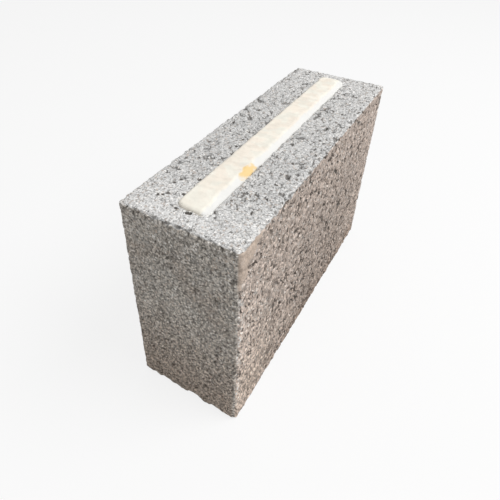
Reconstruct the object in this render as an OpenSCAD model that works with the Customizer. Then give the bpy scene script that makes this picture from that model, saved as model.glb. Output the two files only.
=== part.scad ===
// Insulated concrete block: one pressed block of lightweight concrete with a long drafted slot through it,
// filled with a rigid foam insert that stands a little above the top bed face.
// Millimetres. X runs along the length, Y across the width, Z up. The origin is the middle of the underside.

/* [Block] */

// Length of the block, end face to end face
block_length = 300; // [240:1:450]
// Width of the block, which is the thickness of the leaf that it builds
block_width = 100; // [90:1:215]
// Height of the block, bed face to bed face
block_height = 200; // [140:1:250]
// Radius of the four upright corners
corner_radius = 3.5; // [2:0.5:6]
// Radius of the worn edges around the two bed faces
arris_radius = 2; // [1:0.5:4]

/* [Slot] */

// Width of the slot at the top bed face
slot_width = 24; // [22:0.5:34]
// Concrete left between the slot and each end face, at the top
end_web = 19; // [14:0.5:40]
// Plan radius of the slot's corners at its narrow lower end
slot_corner = 3.5; // [2.5:0.5:5]
// Draft of the slot walls, which lets the core bar be drawn upwards, in degrees
core_draft = 0.5; // [0.2:0.1:1]
// Width of the broken edge around both mouths of the slot
mouth_break = 1; // [0.5:0.1:2]

/* [Insert] */

// Height of the foam above the top bed face
insert_stand = 3.5; // [2:0.5:8]
// Depth of the foam's underside above the lower bed face
insert_recess = 1.5; // [0.5:0.5:6]
// Gap between the foam and the slot walls, on each side
insert_clearance = 0.2; // [0.1:0.05:0.5]
// Radius of the foam's soft top edge
insert_edge = 1.5; // [0.5:0.25:2]
// Width of the slanting cut that trims the foam's right-hand long edge, seen from above
trim_width = 6; // [2:0.5:9]
// Height of that cut on the foam's flank
trim_drop = 3; // [1:0.25:4]

/* [Wear] */

// Radius of the hollow that a knocked-off grain leaves in an edge
chip_radius = 4; // [3:0.5:6]
// Depth of those hollows, from the sharp edge along its bisector
chip_depth = 2.2; // [1.5:0.1:2.8]
// Chips in the near end's top edge, from the right-hand face
near_top_chips = [49, 57, 68]; // [8:1:82]
// Chips in the right-hand top edge, from the near end
right_top_chips = [49, 71, 107, 141]; // [8:1:232]
// Chips in the near end's lower edge, from the right-hand face
near_foot_chips = [21, 43]; // [8:1:82]

/* [Detail] */

// Segments of a full circle on the block's rounded edges
$fn = 64; // [32:8:96]
// Segments of a full circle on the slot's and the foam's corners
post_segments = 32; // [16:8:64]

/* [Hidden] */

// Amount by which a cutter runs past a face, so that no skin is left
past = 1;
// Plan radius of the slot's corners at the top bed face
slot_corner_top = slot_radius(block_height);
// Half spacing of the slot's four corner axes, along and across the block
axis_x = block_length / 2 - end_web - slot_corner_top;
axis_y = slot_width / 2 - slot_corner_top;
// Height of the foam's top, and of the foot of its soft edge
insert_top = block_height + insert_stand;
insert_shoulder = insert_top - insert_edge;

// Plan radius of the slot's corners at a height above the lower bed face
function slot_radius(z) = slot_corner + z * tan(core_draft);

// Plan radius of the foam's corners at the same height
function foam_radius(z) = slot_radius(z) - insert_clearance;

// Rectangle with true arcs at its corners, centred
module round_rect(along, across, radius) {
    square([along - 2 * radius, across], center = true);
    square([along, across - 2 * radius], center = true);
    for (sx = [-1, 1], sy = [-1, 1])
        translate([sx * (along / 2 - radius), sy * (across / 2 - radius)])
            circle(r = radius);
}

// Block with every edge rounded: the common part of three rounded prisms, one along each axis
module rounded_block() {
    intersection() {
        linear_extrude(height = block_height)
            round_rect(block_length, block_width, corner_radius);
        translate([0, 0, block_height / 2])
            rotate([90, 0, 0])
                linear_extrude(height = block_width, center = true)
                    round_rect(block_length, block_height, arris_radius);
        translate([0, 0, block_height / 2])
            rotate([90, 0, 90])
                linear_extrude(height = block_length, center = true)
                    round_rect(block_width, block_height, arris_radius);
    }
}

// Slab blended over four equal posts, one on each corner axis of the slot
module slab_over_posts() {
    hull()
        for (sx = [-1, 1], sy = [-1, 1])
            translate([sx * axis_x, sy * axis_y])
                children();
}

// Post between two heights that tapers from one radius to another
module taper_post(z_low, r_low, z_high, r_high) {
    translate([0, 0, z_low])
        cylinder(h = z_high - z_low, r1 = r_low, r2 = r_high, $fn = post_segments);
}

// Room left by the core bar: the drafted slot, flared by the broken edge at each mouth
module slot_cut() {
    flare = mouth_break + past;
    slab_over_posts()
        taper_post(-past, slot_radius(-past), block_height + past, slot_radius(block_height + past));
    slab_over_posts()
        taper_post(-past, slot_radius(0) + flare, mouth_break, slot_radius(0));
    slab_over_posts()
        taper_post(block_height - mouth_break, slot_radius(block_height),
                   block_height + past, slot_radius(block_height) + flare);
}

// Corner post of the foam: it follows the slot's draft and ends in a rounded rim
module foam_post() {
    shoulder = foam_radius(insert_shoulder);
    taper_post(insert_recess, foam_radius(insert_recess), insert_shoulder, shoulder);
    translate([0, 0, insert_shoulder])
        rotate_extrude($fn = post_segments)
            translate([shoulder - insert_edge, 0])
                intersection() {
                    circle(r = insert_edge, $fn = post_segments);
                    square(insert_edge);
                }
}

// Wedge that the slanting cut takes off the foam's right-hand long edge
module trim_cut() {
    flank = axis_y + foam_radius(insert_top);
    over = past * trim_drop / trim_width;
    rotate([90, 0, 90])
        linear_extrude(height = block_length, center = true)
            polygon([
                [-flank + trim_width + past, insert_top + over],
                [-flank - past, insert_top + over],
                [-flank - past, insert_top - trim_drop - over]
            ]);
}

// Ball that bites into an edge to the chip depth; out points away from the edge along its bisector
module chip(edge_point, out) {
    translate(edge_point + (chip_radius - chip_depth) / norm(out) * out)
        sphere(r = chip_radius);
}

// Chips along the three edges that have been knocked
module edge_chips() {
    near = -block_length / 2;
    right = -block_width / 2;
    for (along = near_top_chips)
        chip([near, right + along, block_height], [-1, 0, 1]);
    for (along = right_top_chips)
        chip([near + along, right, block_height], [0, -1, 1]);
    for (along = near_foot_chips)
        chip([near, right + along, 0], [-1, 0, -1]);
}

// The pressed concrete, with the slot through it from bed face to bed face
module concrete_block() {
    color([0.56, 0.55, 0.54])
        difference() {
            rounded_block();
            slot_cut();
            edge_chips();
        }
}

// The rigid foam that fills the slot, trimmed along one edge
module insulation_insert() {
    color([0.95, 0.90, 0.82])
        difference() {
            slab_over_posts()
                foam_post();
            trim_cut();
        }
}

concrete_block();
insulation_insert();
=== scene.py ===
"""Dresses an insulated concrete block: rough pressed concrete around a hand-trimmed slab of foam."""

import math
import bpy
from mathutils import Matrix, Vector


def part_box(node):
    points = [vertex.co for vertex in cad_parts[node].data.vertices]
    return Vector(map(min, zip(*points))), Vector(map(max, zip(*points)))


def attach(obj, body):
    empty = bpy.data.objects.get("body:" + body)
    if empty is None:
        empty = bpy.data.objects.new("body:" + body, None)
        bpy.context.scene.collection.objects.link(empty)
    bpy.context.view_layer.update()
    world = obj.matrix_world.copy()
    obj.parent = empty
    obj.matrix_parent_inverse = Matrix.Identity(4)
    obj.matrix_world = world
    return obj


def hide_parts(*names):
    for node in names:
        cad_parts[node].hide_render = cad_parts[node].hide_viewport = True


bl_info = {
    "name": "Insulated concrete block",
    "version": (1, 0, 0),
    "blender": (4, 5, 0),
    "location": "View3D > Sidebar > Block",
    "description": "Pressed lightweight concrete with a rigid foam insert, on a plain pale floor",
    "category": "Object",
}

import bpy
import numpy as np
from bpy.props import FloatProperty, FloatVectorProperty, PointerProperty
from mathutils import Euler, Matrix, Vector

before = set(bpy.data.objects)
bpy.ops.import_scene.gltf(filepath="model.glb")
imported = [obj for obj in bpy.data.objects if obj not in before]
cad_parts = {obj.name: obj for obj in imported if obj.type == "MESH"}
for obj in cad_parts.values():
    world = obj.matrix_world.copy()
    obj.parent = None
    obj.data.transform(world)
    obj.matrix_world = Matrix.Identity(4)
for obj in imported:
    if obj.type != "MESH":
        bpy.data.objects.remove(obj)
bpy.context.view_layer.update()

MM = 0.001
BODY = "root"
BLOCK_NODE = "concrete_block"
FOAM_NODE = "insulation_insert"
WHITE = (1.0, 1.0, 1.0, 1.0)
# Width of the camera's frame in its own millimetres, and the nearest distance that it shows
SENSOR_WIDTH = 36.0
CLIP_START = 10 * MM

BLOCK_LOW, BLOCK_HIGH = (Vector(corner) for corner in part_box(BLOCK_NODE))
FOAM_LOW, FOAM_HIGH = (Vector(corner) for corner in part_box(FOAM_NODE))
BLOCK_HALF = (BLOCK_HIGH - BLOCK_LOW) / 2
FOAM_HALF = (FOAM_HIGH - FOAM_LOW) / 2

# Knocked edges, as distances along the edge in millimetres, from the right-hand face or the near end
NEAR_TOP_CHIPS = (49, 57, 68)
RIGHT_TOP_CHIPS = (49, 71, 107, 141)
NEAR_FOOT_CHIPS = (21, 43)
# Deep pits in the top bed face, as places in plan in millimetres
TOP_PITS = (
    (-128, 31), (-126, 28), (-123, 26), (-104, 28), (-94, 38), (-110, 30), (-72, 34), (-124, -15),
    (-92, -37), (-92, -29), (-111, -36), (-73, -35), (-58, -39), (-40, -33), (-41, -40), (-13, -20),
    (5, -37), (29, -34), (62, -36), (29, 34), (-5, 42), (-41, 18), (-28, 19), (-133.8, 10.5),
    (-134.2, 1), (-133.9, -1), (-118, 15.5), (-97, 16),
)
# Height of a pit's middle above the top, as a share of the pit's radius
PIT_STAND = 0.3


def from_near(*distances):
    """Places along the block, from distances to its near end in millimetres."""
    return tuple(BLOCK_LOW.x + distance * MM for distance in distances)


def from_right(*distances):
    """Places across the block, from distances to its right-hand face in millimetres."""
    return tuple(BLOCK_LOW.y + distance * MM for distance in distances)


# Zones of the concrete, each as the place where it begins and the place where it is full
# Near end of the bed faces, closed by fines
CALM_X = from_near(65, 15)
# Near part and lower part of the long faces, with finer pores and with more of them
FINE_X = from_near(80, 20)
OPEN_Z = (140 * MM, 70 * MM)
# Foot of the near right-hand corner, tan with fines
TAN_X = from_near(80, 20)
TAN_Y = from_right(5, 1)
TAN_Z = (110 * MM, 25 * MM)
# Lower part of the block, whose grains differ more in tone
GRAINY_Z = (130 * MM, 60 * MM)
# Lighter near part and darker middle of the long faces, and brighter far end of the bed faces
LIGHTER_NEAR_X = from_near(75, 10)
LIGHTER_NEAR_Z = (195 * MM, 110 * MM)
DARKER_MIDDLE_NEAR_X = from_near(80, 140)
DARKER_MIDDLE_FAR_X = from_near(280, 220)
DARKER_MIDDLE_Z = (190 * MM, 110 * MM)
BRIGHT_X = from_near(200, 270)
# Dirt and painted contact shade at the foot of the long faces, worn upright corners, smooth patch and waved
# lower edge
FOOT_DIRT_AND_SHADE_X = from_near(65, 105)
WORN_Z = (10 * MM, 50 * MM)
PATCH_Y = from_right(3, 1)
WAVED_X = from_near(6, 0)
# Distance from an upright corner at which its worn strip begins, and at which it is full
CORNER_REACH = (9 * MM, 2 * MM)
# Height above the foot at which dirt, the band of dirt and painted contact shade, crumbling and waves end
SPLASH_HEIGHT = 60 * MM
WASH_HEIGHT = 150 * MM
FOOT_DIRT_AND_SHADE_HEIGHT = 32 * MM
CRUMBLE_HEIGHT = 9 * MM
WAVE_HEIGHT = 12 * MM
# Reach of the smooth tan patch from the near top corner, along the block and down
PATCH_LENGTH = 32 * MM
PATCH_DROP = 40 * MM
# Lumps of the concrete's noises, and how far the first of them shifts the pores
FRAY_SIZE = 2.6 * MM
FRAY_SHIFT = 2.2 * MM
CRUMB_SIZE = 4.2 * MM
BREAK_SIZE = 13 * MM
SWELL_SIZE = 28 * MM
WAVE_SIZE = 15 * MM
DUST_SIZE = 1.3 * MM
CLOUD_SIZE = 40 * MM
SPLASH_SIZE = 20 * MM
STREAK_SIZE = 36 * MM
WEAR_SIZE = 7 * MM
PATCH_FRAY = 9 * MM
# Width of the soft brink of a gap between grains, in cells
BRINK_WIDTH = 0.11

# Zones of the foam's skin, given like those of the concrete
FRESH_X = from_near(65, 25)
# Near end of the skin, brightened with painted light where it dips away from the lamp
NEAR_PAINTED_LIGHT_X = from_near(55, 22)
# Length of the foam's near end that dips, and the least height that is left above the concrete
DIP_LENGTH = 15 * MM
LEAST_STAND = 0.1 * MM
# Lumps of the foam's noises
LIP_WAVER = 11 * MM
TRIM_WAVER = 22 * MM
CREASE_SIZE = 15 * MM
DIMPLE_SIZE = 4 * MM
MOTTLE_SIZE = 13 * MM
BEAD_SIZE = 2.2 * MM
AGED_SIZE = 12 * MM
CRINKLE_SHADING_SIZE = 5 * MM
STAIN_FRAY = 6 * MM

# Factors on the places that a pattern reads: upright grains and pores, creases across the foam, and the
# painted light and shade of its crinkles
DRAWN = (1.15, 1.0, 0.93)
CREASED = (1.0, 0.6, 0.0)
CRINKLE_SHADING_STRETCH = (1.0, 0.55, 1.0)
# Height of the fine bumps in each finish
CONCRETE_BUMP = 0.8 * MM
FOAM_BUMP = 0.4 * MM

# Steps in a rounded quarter of the concrete mesh
ROUND_STEPS = 5
# Distances of the slot's rows from its mouths, in widths of the broken edge
SLOT_ROWS = (1, 3, 8, 40)
# Rows of the foam mesh, how they crowd towards the top, and how much finer it is across than along
FOAM_ROWS = 61
FOAM_CROWDING = 1.5
FOAM_FINENESS = 1.5
# Smallest length that anything is divided by
SPECK = 0.001 * MM


# Node wiring

class Wire:
    """One output socket of a node tree. Arithmetic on it adds Math nodes."""

    def __init__(self, board, socket):
        self.board = board
        self.socket = socket

    def math(self, operation, first, second=0.0):
        return self.board.node("ShaderNodeMath", {"operation": operation}, {0: first, 1: second})

    def __add__(self, other):
        return self.math("ADD", self, other)

    def __radd__(self, other):
        return self.math("ADD", other, self)

    def __sub__(self, other):
        return self.math("SUBTRACT", self, other)

    def __rsub__(self, other):
        return self.math("SUBTRACT", other, self)

    def __mul__(self, other):
        return self.math("MULTIPLY", self, other)

    def __rmul__(self, other):
        return self.math("MULTIPLY", other, self)

    def __truediv__(self, other):
        return self.math("DIVIDE", self, other)

    def __rtruediv__(self, other):
        return self.math("DIVIDE", other, self)

    def __pow__(self, other):
        return self.math("POWER", self, other)

    def __abs__(self):
        return self.math("ABSOLUTE", self)

    def least(self, other):
        return self.math("MINIMUM", self, other)

    def most(self, other):
        return self.math("MAXIMUM", self, other)

    def root(self):
        return self.math("SQRT", self)

    def ease(self, start, end):
        """0 at start, 1 at end, with a soft step between; start may be the larger."""
        return self.board.node(
            "ShaderNodeMapRange",
            {"interpolation_type": "SMOOTHSTEP"},
            {"Value": self, "From Min": start, "From Max": end, "To Min": 0.0, "To Max": 1.0},
        )

    def part(self, index):
        """One component of a vector or one channel of a random colour."""
        return self.board.node("ShaderNodeSeparateXYZ", None, {0: self}, index)

    def parts(self):
        """All three components of a vector."""
        return tuple(self.part(index) for index in range(3))


class Board:
    """A node tree to which nodes are added by type, settings and socket values."""

    def __init__(self, tree):
        self.tree = tree

    def node(self, kind, settings=None, sockets=None, output=0):
        made = self.tree.nodes.new(kind)
        for key, value in (settings or {}).items():
            setattr(made, key, value)
        for key, value in (sockets or {}).items():
            if isinstance(value, Wire):
                self.tree.links.new(value.socket, made.inputs[key])
            else:
                made.inputs[key].default_value = value
        return Wire(self, made.outputs[output]) if made.outputs else None

    def added(self, first, second):
        return self.node("ShaderNodeVectorMath", {"operation": "ADD"}, {0: first, 1: second})

    def scaled(self, vector, factor):
        return self.node("ShaderNodeVectorMath", {"operation": "SCALE"}, {0: vector, "Scale": factor})

    def times(self, first, second):
        return self.node("ShaderNodeVectorMath", {"operation": "MULTIPLY"}, {0: first, 1: second})

    def joined(self, x, y, z):
        return self.node("ShaderNodeCombineXYZ", None, {0: x, 1: y, 2: z})

    def noise(self, where, size, detail=2.0, output=0):
        """Soft noise from 0 to 1 whose lumps are about size across, as one value or as a colour."""
        return self.node(
            "ShaderNodeTexNoise",
            {"noise_dimensions": "3D"},
            {"Vector": where, "Scale": 1.0 / size, "Detail": detail},
            output,
        )

    def cells(self, where, size, output="Distance"):
        """Scattered cells about size across: distance from the nearest seed, or a random colour."""
        return self.node(
            "ShaderNodeTexVoronoi",
            {"voronoi_dimensions": "3D", "feature": "F1"},
            {"Vector": where, "Scale": 1.0 / size},
            output,
        )

    def blend(self, factor, first, second):
        """Colour mixed from first to second."""
        return self.node("ShaderNodeMix", {"data_type": "RGBA"}, {0: factor, 6: first, 7: second}, 2)


def rgba(colour):
    return (*colour, 1.0)


# Fields that the relief and the material share

def ragged(board, where):
    """Places for the pores, which come out ragged and a little upright, as the mould draws them."""
    shift = board.scaled(board.noise(where, FRAY_SIZE, output="Color"), FRAY_SHIFT)
    return board.added(board.times(where, DRAWN), shift)


def pore_field(board, where, spacing, amount):
    """Open pores: 1 in the middle of a pore, 0 on sound concrete. A cell holds one pore or none."""
    reach = board.cells(where, spacing)
    chance = board.cells(where, spacing, "Color")
    radius = chance.part(0) * 0.24 + 0.18
    present = chance.part(1).ease(1.0 - amount, 1.04 - amount)
    depth = chance.part(2) * 0.25 + 0.75
    return reach.ease(radius, radius * 0.7) * present * depth


def void_field(board, where, spacing, amount):
    """Gaps between packed grains: 1 deep in a gap, 0 on a grain. The packing is looser in some places."""
    reach = board.cells(where, spacing)
    loose = board.noise(where, spacing * 4.0, 1.0) + 0.5
    brink = 1.0 - amount * loose * 0.5
    return reach.ease(brink, brink + BRINK_WIDTH)


def face_shares(facing):
    """How far a face is a bed face, an end face and a long side, from its outward direction."""
    along = abs(facing.part(0))
    rise = abs(facing.part(2))
    bed = (rise - along * 0.35).ease(0.12, 0.45)
    end = along.ease(0.55, 0.85)
    side = (1.0 - bed) * (1.0 - end)
    return bed, end, side


def calm_zone(where, bed):
    """The near end of the bed faces, where fines have closed the texture."""
    return where.part(0).ease(*CALM_X) * bed


def tan_zone(where):
    """The foot of the near right-hand corner, where tan fines have closed some of the pores."""
    x, y, z = where.parts()
    return z.ease(*TAN_Z) * x.ease(*TAN_X) * y.ease(*TAN_Y)


def open_texture(board, where, facing, s):
    """Open texture: gaps between grains on the bed and end faces, ragged pores on the long faces."""
    bed, end, side = face_shares(facing)
    closed = 1.0 - calm_zone(where, bed) * 0.38
    void_amount = s["Void amount"] * closed * (1.0 - end * 0.22)
    voids = void_field(board, where, s["Grain size"], void_amount)

    spacing = s["Pore spacing"]
    torn = ragged(board, where)
    pore_amount = s["Pore amount"] * (where.part(2).ease(*OPEN_Z) * 0.12 + 1.0)
    fine = void_field(board, torn, spacing * 0.72, pore_amount)
    wide = void_field(board, torn, spacing, pore_amount)
    gaps = wide + (fine - wide) * where.part(0).ease(*FINE_X)
    pores = gaps.most(pore_field(board, torn, spacing * 1.37, 0.5))
    uneven = board.noise(where, spacing * 1.5, 1.0).ease(0.30, 0.55) * 0.3 + 0.7
    pores = pores * uneven * side * (1.0 - tan_zone(where) * 0.2)
    return voids * (1.0 - side * 0.6), pores


def plan_reach(where, axis_x, axis_y):
    """Distance in plan from the rectangle through the slot's corner axes."""
    beyond_x = (abs(where.part(0)) - axis_x).most(0.0)
    beyond_y = (abs(where.part(1)) - axis_y).most(0.0)
    return (beyond_x * beyond_x + beyond_y * beyond_y).root()


# Settings

def length(name, default, description):
    return FloatProperty(name=name, description=description, default=default, unit="LENGTH", precision=5)


def portion(name, default, description):
    return FloatProperty(name=name, description=description, default=default, subtype="FACTOR")


def angle(name, degrees, description):
    default = math.radians(degrees)
    return FloatProperty(name=name, description=description, default=default, subtype="ANGLE")


def paint(name, default, description):
    return FloatVectorProperty(name=name, description=description, default=default, subtype="COLOR", size=3)


def triple(name, default, description):
    return FloatVectorProperty(name=name, description=description, default=default, subtype="XYZ", size=3)


def pair(name, default, description, unit="NONE"):
    return FloatVectorProperty(name=name, description=description, default=default, unit=unit, size=2)


class ConcreteSettings(bpy.types.PropertyGroup):
    """Sizes and colours of the pressed concrete."""

    mesh_step: length("Mesh step", 1.62 * MM, "Spacing of the relief mesh")
    corner_radius: length("Corner radius", 3.5 * MM, "Radius of the upright corners")
    arris_radius: length("Arris radius", 2 * MM, "Radius around the bed faces")
    slot_clearance: length("Slot clearance", 0.2 * MM, "Gap between the foam and the slot wall")
    slot_corner: length("Slot corner", 5.25 * MM, "Plan radius of the slot's corners at the top")
    slot_narrowing: length("Slot narrowing", 1.75 * MM, "How much nearer each slot wall is at the foot")
    mouth_break: length("Mouth break", 1 * MM, "Broken edge at the slot's mouths")
    chip_radius: length("Chip radius", 4 * MM, "Radius of the hollows knocked out of the edges")
    chip_depth: length("Chip depth", 2.2 * MM, "Depth of those hollows")
    pit_radius: length("Pit radius", 1.9 * MM, "Radius of the deep pits in the top")
    swell_height: length("Swell height", 0.18 * MM, "Slow unevenness of the faces")
    grain_size: length("Grain size", 3.5 * MM, "Spacing of the packed grains")
    grain_height: length("Grain height", 0.9 * MM, "Relief of the grains")
    void_depth: length("Void depth", 1.3 * MM, "Depth of the gaps between grains")
    pore_spacing: length("Pore spacing", 4.4 * MM, "Spacing of the open pores")
    pore_depth: length("Pore depth", 1.5 * MM, "Depth of the open pores")
    arris_reach: length("Arris reach", 3.4 * MM, "Width of the worn strip along an edge")
    crumble_depth: length("Crumble depth", 1.3 * MM, "Depth to which the edges have crumbled")
    foot_lift: length("Foot lift", 3 * MM, "How far the near end's lower edge has broken away in waves")
    void_amount: portion("Void amount", 0.56, "How far the gaps between grains have opened")
    pore_amount: portion("Pore amount", 0.68, "How far the long faces are open")
    bed_colour: paint("Bed colour", (0.67, 0.665, 0.655), "Sound concrete on the bed faces")
    # Long and end face colours: concrete tinted with painted warm bounce light, the long faces also
    # darkened with painted shade
    side_colour_with_painted_bounce: paint("Side colour", (0.645, 0.54, 0.472), "Dusty concrete on the long faces")
    end_colour_with_painted_bounce: paint("End colour", (0.67, 0.62, 0.558), "Dusty concrete on the end faces")
    # Pore colour: painted shade at the bottom of pores, voids and pits
    pore_shade_colour: paint("Pore colour", (0.08, 0.07, 0.06), "Bottom of an open pore")
    brown_colour: paint("Brown grain colour", (0.42, 0.32, 0.25), "Odd brown grains")
    pale_colour: paint("Pale grain colour", (0.86, 0.83, 0.79), "Odd pale grains and worn edges")
    # The dirt colour also paints the contact shade in the band at the foot of the long faces
    dirt_and_foot_shade_colour: paint("Dirt colour", (0.37, 0.255, 0.18), "Soil splashed on the foot")
    fines_colour: paint("Fines colour", (0.66, 0.535, 0.44), "Smooth patch of fines at the near corner")


class FoamSettings(bpy.types.PropertyGroup):
    """Sizes and colours of the foam insert."""

    mesh_step: length("Mesh step", 1.6 * MM, "Spacing of the mesh along the slab")
    corner_radius: length("Corner radius", 5.05 * MM, "Plan radius of the corners")
    edge_radius: length("Edge radius", 1.5 * MM, "Radius of the soft top edge")
    narrowing: length("Narrowing", 1.75 * MM, "How much nearer each flank is at the foot")
    trim_width: length("Trim width", 6 * MM, "Width of the slanting cut, seen from above")
    trim_drop: length("Trim drop", 3 * MM, "Height of the slanting cut")
    trim_wander: length("Trim wander", 6 * MM, "How far the hand-made cut strays")
    lip_width: length("Lip width", 1 * MM, "How far the foam spreads over the slot's broken edge")
    near_dip: length("Near dip", 1.3 * MM, "How far the top sinks towards the near end")
    skin_relief: length("Skin relief", 0.35 * MM, "Height of the creases in the skin")
    skin_colour: paint("Skin colour", (0.955, 0.92, 0.82), "Aged top skin")
    aged_colour: paint("Aged colour", (0.955, 0.875, 0.765), "Yellowed parts of the top skin")
    cut_colour: paint("Cut colour", (0.86, 0.86, 0.84), "Fresh trimmed edge")
    stain_colour: paint("Stain colour", (0.93, 0.66, 0.27), "Old resin stain")
    stain_place: pair(
        "Stain place", (-70.5 * MM, -9.6 * MM), "Middle of the stain in plan", "LENGTH"
    )
    stain_half: pair("Stain size", (11.5 * MM, 4.3 * MM), "Half length and half width", "LENGTH")


class StageSettings(bpy.types.PropertyGroup):
    """Camera, floor and lights."""

    eye: triple("Eye", (-0.3229, -0.1447, 0.3906), "Place of the camera")
    azimuth: angle("Azimuth", -58.35, "Turn of the view about the upright")
    elevation: angle("Elevation", 37.15, "Angle of the view above the floor")
    roll: angle("Roll", 0.32, "Turn of the camera about its view")
    lens: FloatProperty(name="Lens", description="Focal length", default=32.53, unit="CAMERA")
    shift: pair("Shift", (0.051, -0.1), "Lens shift as a share of the frame")
    sky: FloatProperty(name="Sky", description="Strength of the even studio light", default=0.42)
    key: FloatProperty(name="Key", description="Power of the overhead lamp", default=22.0, unit="POWER")
    key_size: length("Key size", 1.2, "Width of the lamp")
    key_aim: triple("Key aim", (0.0, 0.0, 0.1), "Point that the lamp faces")
    key_toward: triple("Key direction", (0.17, -0.55, 0.82), "Direction from that point to the lamp")
    key_distance: length("Key distance", 1.8, "Distance from that point to the lamp")
    floor_reach: length("Floor reach", 6.0, "Half width of the floor")
    floor_colour: paint("Floor colour", (0.46, 0.46, 0.46), "Pale floor, as the light sees it")
    paper_colour: paint("Paper colour", (0.9, 0.9, 0.9), "Pale floor, as the camera sees it")
    floor_glow: portion("Floor glow", 0.82, "How far the floor shows white whatever the shadow")


# Mesh helpers

def new_object(name, data):
    made = bpy.data.objects.new(name, data)
    bpy.context.scene.collection.objects.link(made)
    return made


def new_tree(name, inputs):
    """Geometry tree with a mesh in and out and named inputs, with the board that wires it."""
    tree = bpy.data.node_groups.new(name, "GeometryNodeTree")
    tree.interface.new_socket("Geometry", in_out="INPUT", socket_type="NodeSocketGeometry")
    tree.interface.new_socket("Geometry", in_out="OUTPUT", socket_type="NodeSocketGeometry")
    for label, value in inputs.items():
        kind = "NodeSocketMaterial" if isinstance(value, bpy.types.Material) else "NodeSocketFloat"
        tree.interface.new_socket(label, in_out="INPUT", socket_type=kind)
    board = Board(tree)
    entry = tree.nodes.new("NodeGroupInput")
    given = {socket.name: Wire(board, socket) for socket in entry.outputs if socket.name}
    return board, given


def end_tree(board, geometry, material):
    """Realise, set the material and hand the result on."""
    real = board.node("GeometryNodeRealizeInstances", None, {"Geometry": geometry})
    dressed = board.node("GeometryNodeSetMaterial", None, {"Geometry": real, "Material": material})
    board.node("NodeGroupOutput", None, {0: dressed})


def keep(board, geometry, name, value, data_type="FLOAT"):
    """Store a field on the points under a name, for the material to read."""
    return board.node(
        "GeometryNodeStoreNamedAttribute",
        {"data_type": data_type, "domain": "POINT"},
        {"Geometry": geometry, "Name": name, "Value": value},
    )


def settle(piece, board, values):
    """Run the tree on the piece and turn the result into its plain mesh."""
    modifier = piece.modifiers.new(board.tree.name, "NODES")
    modifier.node_group = board.tree
    for item in board.tree.interface.items_tree:
        if item.in_out == "INPUT" and item.name in values:
            modifier[item.identifier] = values[item.name]
    graph = bpy.context.evaluated_depsgraph_get()
    mesh = bpy.data.meshes.new_from_object(piece.evaluated_get(graph), depsgraph=graph)
    piece.modifiers.clear()
    piece.data = mesh
    mesh.shade_smooth()


def hand_over(piece, node):
    """Let the piece stand for its CAD node, on the same body."""
    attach(piece, BODY)
    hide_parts(node)


# Concrete mesh

def outline(half_x, half_y, runs):
    """Points around a rectangle, anticlockwise, and the outward direction at each; corners fan out."""
    along, across, bend = runs
    corners = [(half_x, -half_y), (half_x, half_y), (-half_x, half_y), (-half_x, -half_y)]
    points = []
    angles = []
    for index, corner in enumerate(corners):
        start = (index - 1) * math.pi / 2
        for step in range(bend + 1):
            points.append(corner)
            angles.append(start + step / bend * math.pi / 2)
        after = corners[(index + 1) % 4]
        count = along if index % 2 else across
        for step in range(1, count):
            share = step / count
            points.append([a + (b - a) * share for a, b in zip(corner, after)])
            angles.append(start + math.pi / 2)
    directions = np.column_stack([np.cos(angles), np.sin(angles)])
    return np.array(points), directions


def block_rows(s):
    """Closed section of the block, row by row: out below, up, in along the top and down the slot."""
    height = BLOCK_HIGH.z
    flat_x = BLOCK_HALF.x - s.corner_radius
    flat_y = BLOCK_HALF.y - s.corner_radius
    runs = (round(2 * flat_x / s.mesh_step), round(2 * flat_y / s.mesh_step), ROUND_STEPS)
    outer, out = outline(flat_x, flat_y, runs)
    axis_x, axis_y = slot_axes(s)
    inner, away = outline(axis_x, axis_y, runs)

    def outer_row(inset, z):
        plan = outer + out * (s.corner_radius - inset)
        return np.column_stack([plan, np.full(len(plan), z)])

    def slot_row(widen, z):
        radius = s.slot_corner - (height - z) / height * s.slot_narrowing + widen
        plan = inner + away * radius
        return np.column_stack([plan, np.full(len(plan), z)])

    def between(first, last, count):
        shares = np.linspace(0.0, 1.0, count + 1)[1:]
        return [first + (last - first) * share for share in shares]

    r = s.arris_radius
    quarter = [math.pi / 2 * step / ROUND_STEPS for step in range(1, ROUND_STEPS + 1)]
    face_rows = round((BLOCK_HALF.y - axis_y - s.slot_corner) / s.mesh_step)
    wall_rows = round((height - 2 * r) / s.mesh_step)
    low_mouth = slot_row(s.mouth_break, 0.0)
    rows = [low_mouth]
    rows += between(low_mouth, outer_row(r, 0.0), face_rows)
    rows += [outer_row(r - r * math.sin(a), r - r * math.cos(a)) for a in quarter]
    rows += between(rows[-1], outer_row(0.0, height - r), wall_rows)
    rows += [outer_row(r - r * math.cos(a), height - r + r * math.sin(a)) for a in quarter]
    rows += between(rows[-1], slot_row(s.mouth_break, height), face_rows)
    for depth in SLOT_ROWS:
        rows.append(slot_row(0.0, height - depth * s.mouth_break))
    for lift in reversed(SLOT_ROWS):
        rows.append(slot_row(0.0, lift * s.mouth_break))
    return rows


def slot_axes(s):
    """Half spacing of the slot's corner axes, from the foam that fills it."""
    return (
        FOAM_HALF.x + s.slot_clearance - s.slot_corner,
        FOAM_HALF.y + s.slot_clearance - s.slot_corner,
    )


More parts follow.
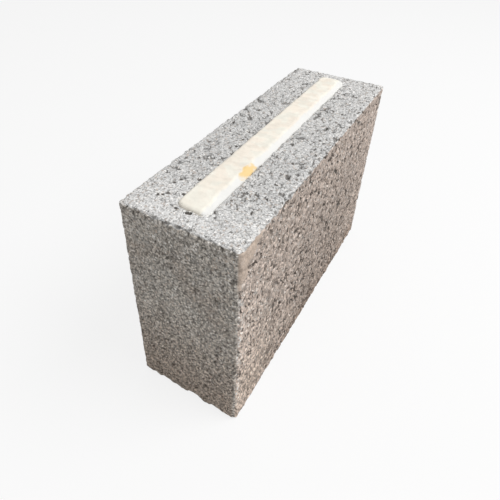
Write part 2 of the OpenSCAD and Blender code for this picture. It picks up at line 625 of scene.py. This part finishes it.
def hollows(s):
    """Balls that bite into the block: chips along three edges and deep pits in the top."""
    near, right, top = -BLOCK_HALF.x, -BLOCK_HALF.y, BLOCK_HIGH.z
    edges = [((near, right + along * MM, top), (-1, 0, 1)) for along in NEAR_TOP_CHIPS]
    edges += [((near + along * MM, right, top), (0, -1, 1)) for along in RIGHT_TOP_CHIPS]
    edges += [((near, right + along * MM, 0.0), (-1, 0, -1)) for along in NEAR_FOOT_CHIPS]
    stand_off = s.chip_radius - s.chip_depth
    balls = []
    for point, out in edges:
        middle = Vector(point) + Vector(out).normalized() * stand_off
        balls.append((middle, s.chip_radius))
    pit_height = top + s.pit_radius * PIT_STAND
    balls += [(Vector((x * MM, y * MM, pit_height)), s.pit_radius) for x, y in TOP_PITS]
    return balls


def bite(points, balls):
    """Push points that lie in a ball out to its surface; tell how deep each lay, from 0 to 1."""
    depth = np.zeros(len(points))
    for middle, radius in balls:
        arm = points - np.array(middle)
        reach = np.linalg.norm(arm, axis=1)
        depth = np.maximum(depth, 1.0 - reach / radius)
        pushed = np.array(middle) + arm * (radius / reach)[:, None]
        points = np.where((reach < radius)[:, None], pushed, points)
    return points, depth


def ring_mesh(name, rows, balls):
    """Quads between neighbouring rows, closed both ways round, with the balls bitten out."""
    rings = len(rows)
    count = len(rows[0])
    row, column = np.meshgrid(np.arange(rings), np.arange(count), indexing="ij")
    next_row = (row + 1) % rings
    next_column = (column + 1) % count
    quads = np.stack(
        [
            row * count + column,
            row * count + next_column,
            next_row * count + next_column,
            next_row * count + column,
        ],
        axis=-1,
    ).reshape(-1, 4)
    points, depth = bite(np.concatenate(rows), balls)
    mesh = bpy.data.meshes.new(name)
    mesh.from_pydata(points.tolist(), [], quads.tolist())
    mesh.attributes.new("hollow", "FLOAT", "POINT").data.foreach_set("value", depth)
    return mesh


def concrete_relief(s, values):
    """Tree that roughens the plain block: swell, packed grains, voids, pores and crumbled edges."""
    board, given = new_tree("concrete_relief", values)
    place = board.node("GeometryNodeInputPosition")
    normal = board.node("GeometryNodeInputNormal")
    x, y, z = place.parts()
    bed, end, side = face_shares(normal)

    from_end = BLOCK_HALF.x - abs(x)
    from_side = BLOCK_HALF.y - abs(y)
    from_bed = z.least(BLOCK_HIGH.z - z)
    from_edge = from_end.least(from_side).most(from_end.most(from_side).least(from_bed))
    axis_x, axis_y = slot_axes(s)
    from_slot = plan_reach(place, axis_x, axis_y) - s.slot_corner
    from_mouth = abs(from_slot - s.mouth_break) + from_bed
    sound = from_slot.ease(s.slot_clearance, s.mouth_break + s.slot_clearance * 2)

    near = from_edge.least(from_mouth).ease(given["Arris reach"], 0.0)
    crumbs = board.noise(place, CRUMB_SIZE).ease(0.46, 0.68)
    foot = z.ease(CRUMBLE_HEIGHT, 0.0) * board.noise(place, BREAK_SIZE).ease(0.42, 0.66)
    wear = near * (crumbs + foot)

    swell = (board.noise(place, SWELL_SIZE) - 0.5) * 2.0 * given["Swell height"]
    domes = 0.55 - board.cells(place, given["Grain size"])
    grit = board.noise(place, given["Grain size"] * 0.7) - 0.5
    rough = (domes + grit * 0.6) * given["Grain height"] * (1.0 - end * 0.6) * (1.0 - side * 0.4)
    rough = rough * (1.0 - calm_zone(place, bed) * 0.3)
    voids, pores = open_texture(board, place, normal, given)
    holes = (voids * given["Void depth"]).most(pores * given["Pore depth"])
    relief = (swell + rough - holes) * sound - wear * given["Crumble depth"]

    shell = given["Geometry"]
    shell = keep(board, shell, "rest", place, "FLOAT_VECTOR")
    shell = keep(board, shell, "facing", normal, "FLOAT_VECTOR")
    moved = board.added(place, board.scaled(normal, relief))
    waves = board.noise(board.joined(0.0, y, 0.0), WAVE_SIZE, 1.0).ease(0.40, 0.62)
    lift = waves * z.ease(WAVE_HEIGHT, 0.0) * x.ease(*WAVED_X) * given["Foot lift"]
    grounded = board.joined(moved.part(0), moved.part(1), moved.part(2).most(0.0) + lift)
    shell = board.node("GeometryNodeSetPosition", None, {"Geometry": shell, "Position": grounded})
    end_tree(board, shell, given["Material"])
    return board


# Foam mesh

def foam_slab(s, values):
    """Tree that makes the foam: a narrowing slab with a soft top edge and a wandering slanting cut."""
    board, given = new_tree("foam_slab", values)
    size = FOAM_HALF * 2
    counts = {
        "Vertices X": round(size.x / s.mesh_step) + 1,
        "Vertices Y": round(size.y / s.mesh_step * FOAM_FINENESS) + 1,
        "Vertices Z": FOAM_ROWS,
    }
    cube = board.node("GeometryNodeMeshCube", None, {"Size": size, **counts}, "Mesh")
    place = board.node("GeometryNodeInputPosition")
    x, y, z = place.parts()

    share = 1.0 - (0.5 - z / size.z) ** FOAM_CROWDING
    height = share * size.z
    pinch = (1.0 - share) * given["Narrowing"]

    corner = given["Corner radius"]
    flat_x = FOAM_HALF.x - corner
    flat_y = FOAM_HALF.y - corner
    core_x = x.least(flat_x).most(0.0 - flat_x)
    core_y = y.least(flat_y).most(0.0 - flat_y)
    over_x = x - core_x
    over_y = y - core_y
    square = abs(over_x).most(abs(over_y))
    diagonal = (over_x * over_x + over_y * over_y).root().most(SPECK)
    along = board.joined(x, 0.0, 0.0)
    lip = (height + FOAM_LOW.z).ease(BLOCK_HIGH.z - s.lip_width, BLOCK_HIGH.z) * given["Lip width"]
    lip = lip * (board.noise(along, LIP_WAVER).ease(0.35, 0.65) * 0.9 + 0.3)
    rounding = square / diagonal * (1.0 + lip / corner)
    plan_x = (core_x + over_x * rounding) * (1.0 - pinch / FOAM_HALF.x)
    plan_y = (core_y + over_y * rounding) * (1.0 - pinch / FOAM_HALF.y)

    inside = corner - square
    turn = (1.0 - inside / given["Edge radius"]).most(0.0).least(1.0)
    soft_drop = given["Edge radius"] * (1.0 - (1.0 - turn * turn).root())
    stray = (board.noise(along, TRIM_WAVER, 3.0) - 0.60) * 2.0 * given["Trim wander"]
    width = given["Trim width"] + stray
    cut = (1.0 - (plan_y + FOAM_HALF.y) / width).most(0.0)
    cut_drop = cut * given["Trim drop"]
    dip = x.ease(FOAM_LOW.x + DIP_LENGTH, FOAM_LOW.x) * given["Near dip"]
    drop = (soft_drop.most(cut_drop) + dip).least(FOAM_HIGH.z - BLOCK_HIGH.z - LEAST_STAND)

    crease = board.noise(board.times(place, CREASED), CREASE_SIZE, 4.0) - 0.5
    dimple = board.noise(place, DIMPLE_SIZE) - 0.5
    skin = (crease * 2.0 + dimple * 0.5) * given["Skin relief"] * share.ease(0.985, 1.0)
    top = FOAM_LOW.z + height * (1.0 - drop / size.z) + skin
    slab = keep(board, cube, "cut", cut.ease(0.08, 0.36) * share.ease(0.97, 0.985))
    slab = board.node(
        "GeometryNodeSetPosition", None, {"Geometry": slab, "Position": board.joined(plan_x, plan_y, top)}
    )
    end_tree(board, slab, given["Material"])
    return board


# Materials

def new_material(name):
    material = bpy.data.materials.new(name)
    material.use_nodes = True
    material.node_tree.nodes.clear()
    return material, Board(material.node_tree)


def attribute(board, name, output):
    return board.node("ShaderNodeAttribute", {"attribute_name": name}, None, output)


def seen_rays(board):
    """1 on rays by which the picture shows a surface, straight or by reflection or through glass."""
    kinds = ("Is Camera Ray", "Is Glossy Ray", "Is Transmission Ray")
    camera, glossy, through = (board.node("ShaderNodeLightPath", None, None, kind) for kind in kinds)
    return camera.most(glossy).most(through)


def surface(board, colour, normal, roughness, specular):
    """Principled surface with what varies on its own sockets, joined to the output."""
    shader = board.node(
        "ShaderNodeBsdfPrincipled",
        None,
        {"Base Color": colour, "Normal": normal, "Roughness": roughness, "Specular IOR Level": specular},
    )
    board.node("ShaderNodeOutputMaterial", None, {"Surface": shader})


def concrete_finish(s, sizes):
    """Dusty open-textured concrete: grains, pores and pits darkened with painted shade, dirt with painted
    contact shade at the foot, long and end faces tinted with painted warm bounce light, and a patch of
    smooth fines.
    """
    material, board = new_material("pressed_concrete")
    rest = attribute(board, "rest", "Vector")
    facing = attribute(board, "facing", "Vector")
    hollow = attribute(board, "hollow", "Fac")
    x, y, z = rest.parts()
    bed, end, side = face_shares(facing)
    calm = calm_zone(rest, bed)
    tan = tan_zone(rest)
    upright = board.times(rest, DRAWN)
    grit = board.cells(rest, s.grain_size * 0.42, "Color")
    lump = board.cells(upright, s.grain_size * 0.75, "Color")
    fine = board.noise(rest, DUST_SIZE)
    broad = board.noise(rest, CLOUD_SIZE, 3.0)

    shade = grit.part(0) + (lump.part(0) - grit.part(0)) * side
    low = z.ease(*GRAINY_Z)
    contrast = end * (low * 0.25 + 0.60) + side * (low * 0.3 + 0.2) + 0.42 - calm * 0.1
    light = (shade - 0.5) * contrast + 1.0
    light = light * (fine * 1.4 + 0.30) * (broad * 0.24 + 0.88) * (calm * 0.165 + 1.0)
    # Long faces lighter towards the near end and darker in the middle
    lighter_near = x.ease(*LIGHTER_NEAR_X) * z.ease(*LIGHTER_NEAR_Z) * side
    darker_middle = x.ease(*DARKER_MIDDLE_NEAR_X) * x.ease(*DARKER_MIDDLE_FAR_X) * z.ease(*DARKER_MIDDLE_Z) * side
    bright = x.ease(*BRIGHT_X) * bed
    light = light * (lighter_near * 0.3 + 1.0) * (1.0 - darker_middle * 0.13) * (bright * 0.07 + 1.0)

    brown = grit.part(1).ease(0.90, 0.94) * 0.5
    pale = grit.part(2).ease(0.88 - end * 0.12, 0.92 - end * 0.12) * 0.6
    splashed = z.ease(SPLASH_HEIGHT, 0.0) * board.noise(rest, SPLASH_SIZE, 4.0).ease(0.38, 0.70)
    washed = z.ease(WASH_HEIGHT, 0.0) * (end * 0.7 + 0.22)
    streaked = board.noise(rest, STREAK_SIZE, 3.0).ease(0.5, 0.68) * end * 0.4
    # Band at the foot of the long faces: partly dirt, partly painted contact shade
    foot_dirt_and_shade = z.ease(FOOT_DIRT_AND_SHADE_HEIGHT, 0.0) * x.ease(*FOOT_DIRT_AND_SHADE_X) * side
    soil_and_foot_shade = splashed.most(washed).most(streaked).most(foot_dirt_and_shade)
    # Tone by face: the long and end faces carry painted warm bounce light, the long faces also painted
    # shade
    tone = board.blend(end, rgba(s.side_colour_with_painted_bounce), rgba(s.end_colour_with_painted_bounce))
    tone = board.blend(bed, tone, rgba(s.bed_colour))
    tone = board.blend(brown, tone, rgba(s.brown_colour))
    tone = board.blend(pale, tone, rgba(s.pale_colour))
    tone = board.blend(tan * side * 0.6, tone, rgba(s.fines_colour))
    tone = board.blend(soil_and_foot_shade * (1.0 - tan) * 0.6, tone, rgba(s.dirt_and_foot_shade_colour))
    colour = board.scaled(tone, light)

    corner = (BLOCK_HALF.x - abs(x)).most(BLOCK_HALF.y - abs(y)).ease(*CORNER_REACH)
    worn = corner * board.noise(rest, WEAR_SIZE).ease(0.36, 0.55) * z.ease(*WORN_Z)
    worn = worn * (1.0 - end) * grit.part(2).ease(0.3, 0.7)
    colour = board.blend(worn * 0.9, colour, board.scaled(s.pale_colour, light))

    wedge = 1.0 - (x + BLOCK_HALF.x) / PATCH_LENGTH - (BLOCK_HIGH.z - z) / PATCH_DROP
    fray = (board.noise(rest, PATCH_FRAY) - 0.5) * 0.5
    patch = (wedge + fray).ease(0.0, 0.14) * y.ease(*PATCH_Y) * (1.0 - bed)
    colour = board.blend(patch * 0.85, colour, board.scaled(s.fines_colour, fine * 0.7 + 0.65))

    voids, pores = open_texture(board, rest, facing, sizes)
    small = void_field(board, rest, s.grain_size * 0.5, s.void_amount * 1.15)
    medium = void_field(board, upright, s.grain_size * 0.75, s.void_amount * 1.25)
    specks = small + (medium * 0.5 - small) * side
    holes = voids.most(pores).most(specks * (0.7 - calm * 0.15))
    holes = holes * (1.0 - patch) * (1.0 - worn * 0.6)
    # Painted shade: pores, voids, specks and bitten pits darkened towards the pore colour, most on the long
    # faces
    darkness = 0.95 - bed * 0.255 - end * 0.385
    colour = board.blend(holes * darkness, colour, rgba(s.pore_shade_colour))
    colour = board.blend(hollow.ease(0.05, 0.45) * 0.95, colour, rgba(s.pore_shade_colour))

    height = fine * 0.8 + grit.part(1) * 0.35 - holes * 1.1
    bump = board.node(
        "ShaderNodeBump", None, {"Strength": 0.8, "Distance": CONCRETE_BUMP, "Height": height}
    )
    surface(board, colour, bump, roughness=0.93, specular=0.25)
    return material


def foam_finish(s):
    """Matt cream foam with a crinkled, mottled skin, painted light and shade on the crinkles, painted light
    on the near end, a whiter cut edge and one resin stain.
    """
    material, board = new_material("rigid_foam")
    place = board.node("ShaderNodeTexCoord", None, None, "Object")
    cut = attribute(board, "cut", "Fac")
    x = place.part(0)
    y = place.part(1)
    mottle = board.noise(place, MOTTLE_SIZE, 4.0)
    fine = board.noise(place, BEAD_SIZE, 3.0)
    # Painted light and shade on the skin's crinkles, as colour
    crinkle_shading = board.noise(board.times(place, CRINKLE_SHADING_STRETCH), CRINKLE_SHADING_SIZE, 1.0).ease(0.36, 0.64)
    aged = board.noise(place, AGED_SIZE, 3.0).ease(0.40, 0.60) * (1.0 - x.ease(*FRESH_X) * 0.7)
    # The near end of the skin is brightened with painted light
    light = mottle * 0.16 + fine * 0.10 + crinkle_shading * 0.075 + x.ease(*NEAR_PAINTED_LIGHT_X) * 0.055 + 0.83
    colour = board.blend(aged, rgba(s.skin_colour), rgba(s.aged_colour))
    colour = board.scaled(colour, light)
    colour = board.blend(cut * 0.9, colour, rgba(s.cut_colour))

    aside_x = (x - s.stain_place[0]) / s.stain_half[0]
    aside_y = (y - s.stain_place[1]) / s.stain_half[1]
    reach = (aside_x * aside_x + aside_y * aside_y).root()
    fray = (board.noise(place, STAIN_FRAY, 3.0) - 0.5) * 1.5
    stain = (reach + fray).ease(1.05, 0.55) * 0.9
    colour = board.blend(stain, colour, rgba(s.stain_colour))
    bump = board.node(
        "ShaderNodeBump", None, {"Strength": 0.4, "Distance": FOAM_BUMP, "Height": fine + mottle * 1.5}
    )
    surface(board, colour, bump, roughness=0.75, specular=0.3)
    return material


def floor_finish(s):
    """Pale floor: nearly white to the camera, with the object's shadow, and greyer to bounced light."""
    material, board = new_material("pale_floor")
    path = seen_rays(board)
    bounce = board.node("ShaderNodeBsdfDiffuse", None, {"Color": rgba(s.floor_colour)})
    paper = board.node("ShaderNodeBsdfDiffuse", None, {"Color": rgba(s.paper_colour)})
    glow = board.node("ShaderNodeEmission", None, {"Color": WHITE, "Strength": 1.0})
    seen = board.node("ShaderNodeMixShader", None, {0: s.floor_glow, 1: paper, 2: glow})
    mixed = board.node("ShaderNodeMixShader", None, {0: path, 1: bounce, 2: seen})
    board.node("ShaderNodeOutputMaterial", None, {"Surface": mixed})
    return material


# Operators

class BLOCK_OT_pressed_concrete(bpy.types.Operator):
    """Make the rough concrete block that stands for its plain solid"""

    bl_idname = "block.pressed_concrete"
    bl_label = "Pressed concrete"

    def execute(self, context):
        s = context.scene.block_concrete
        values = {
            "Swell height": s.swell_height,
            "Grain size": s.grain_size,
            "Grain height": s.grain_height,
            "Void amount": s.void_amount,
            "Void depth": s.void_depth,
            "Pore spacing": s.pore_spacing,
            "Pore amount": s.pore_amount,
            "Pore depth": s.pore_depth,
            "Arris reach": s.arris_reach,
            "Crumble depth": s.crumble_depth,
            "Foot lift": s.foot_lift,
        }
        values["Material"] = concrete_finish(s, values)
        mesh = ring_mesh("pressed_concrete", block_rows(s), hollows(s))
        piece = new_object("pressed_concrete", mesh)
        settle(piece, concrete_relief(s, values), values)
        hand_over(piece, BLOCK_NODE)
        return {"FINISHED"}


class BLOCK_OT_trimmed_foam(bpy.types.Operator):
    """Make the trimmed foam slab that stands for its plain solid"""

    bl_idname = "block.trimmed_foam"
    bl_label = "Trimmed foam"

    def execute(self, context):
        s = context.scene.block_foam
        values = {
            "Corner radius": s.corner_radius,
            "Edge radius": s.edge_radius,
            "Narrowing": s.narrowing,
            "Trim width": s.trim_width,
            "Trim drop": s.trim_drop,
            "Trim wander": s.trim_wander,
            "Lip width": s.lip_width,
            "Near dip": s.near_dip,
            "Skin relief": s.skin_relief,
            "Material": foam_finish(s),
        }
        piece = new_object("trimmed_foam", bpy.data.meshes.new("trimmed_foam"))
        settle(piece, foam_slab(s, values), values)
        hand_over(piece, FOAM_NODE)
        return {"FINISHED"}


class BLOCK_OT_studio(bpy.types.Operator):
    """Set up the floor, the soft light and the camera"""

    bl_idname = "block.studio"
    bl_label = "Studio"

    def execute(self, context):
        s = context.scene.block_stage
        context.scene.view_settings.view_transform = "Standard"
        self.add_floor(s)
        self.add_world(context.scene, s)
        self.add_key(s)
        self.add_camera(context.scene, s)
        return {"FINISHED"}

    def add_floor(self, s):
        reach = s.floor_reach
        mesh = bpy.data.meshes.new("floor")
        corners = [(-reach, -reach, 0.0), (reach, -reach, 0.0), (reach, reach, 0.0), (-reach, reach, 0.0)]
        mesh.from_pydata(corners, [], [(0, 1, 2, 3)])
        mesh.materials.append(floor_finish(s))
        new_object("floor", mesh)

    def add_world(self, scene, s):
        world = bpy.data.worlds.new("studio")
        scene.world = world
        world.use_nodes = True
        world.node_tree.nodes.clear()
        board = Board(world.node_tree)
        path = seen_rays(board)
        sky = board.node("ShaderNodeBackground", None, {"Color": WHITE, "Strength": s.sky})
        white = board.node("ShaderNodeBackground", None, {"Color": WHITE, "Strength": 1.0})
        mixed = board.node("ShaderNodeMixShader", None, {0: path, 1: sky, 2: white})
        board.node("ShaderNodeOutputWorld", None, {"Surface": mixed})

    def add_key(self, s):
        lamp = bpy.data.lights.new("key", "AREA")
        lamp.shape = "DISK"
        lamp.size = s.key_size
        lamp.energy = s.key
        key = new_object("key", lamp)
        toward = Vector(s.key_toward).normalized()
        key.location = Vector(s.key_aim) + toward * s.key_distance
        key.rotation_euler = toward.to_track_quat("Z", "Y").to_euler()

    def add_camera(self, scene, s):
        data = bpy.data.cameras.new("camera")
        data.sensor_width = SENSOR_WIDTH
        data.lens = s.lens
        data.shift_x, data.shift_y = s.shift
        data.clip_start = CLIP_START
        camera = new_object("camera", data)
        camera.location = s.eye
        turn = Euler((math.pi / 2 - s.elevation, 0.0, s.azimuth)).to_matrix()
        camera.rotation_euler = (turn @ Matrix.Rotation(s.roll, 3, "Z")).to_euler()
        scene.camera = camera


class BLOCK_PT_sidebar(bpy.types.Panel):
    """Lists the pieces and the stage"""

    bl_label = "Insulated concrete block"
    bl_idname = "BLOCK_PT_sidebar"
    bl_space_type = "VIEW_3D"
    bl_region_type = "UI"
    bl_category = "Block"

    def draw(self, context):
        groups = (
            (context.scene.block_concrete, BLOCK_OT_pressed_concrete),
            (context.scene.block_foam, BLOCK_OT_trimmed_foam),
            (context.scene.block_stage, BLOCK_OT_studio),
        )
        for settings, operator in groups:
            box = self.layout.box()
            box.operator(operator.bl_idname)
            for key in settings.bl_rna.properties.keys():
                if key not in {"rna_type", "name"}:
                    box.prop(settings, key)


CLASSES = (
    ConcreteSettings,
    FoamSettings,
    StageSettings,
    BLOCK_OT_pressed_concrete,
    BLOCK_OT_trimmed_foam,
    BLOCK_OT_studio,
    BLOCK_PT_sidebar,
)


def register():
    for cls in CLASSES:
        bpy.utils.register_class(cls)
    bpy.types.Scene.block_concrete = PointerProperty(type=ConcreteSettings)
    bpy.types.Scene.block_foam = PointerProperty(type=FoamSettings)
    bpy.types.Scene.block_stage = PointerProperty(type=StageSettings)


def unregister():
    del bpy.types.Scene.block_stage
    del bpy.types.Scene.block_foam
    del bpy.types.Scene.block_concrete
    for cls in reversed(CLASSES):
        bpy.utils.unregister_class(cls)


def main():
    register()
    bpy.ops.block.studio()
    bpy.ops.block.pressed_concrete()
    bpy.ops.block.trimmed_foam()


if __name__ == "__main__":
    main()
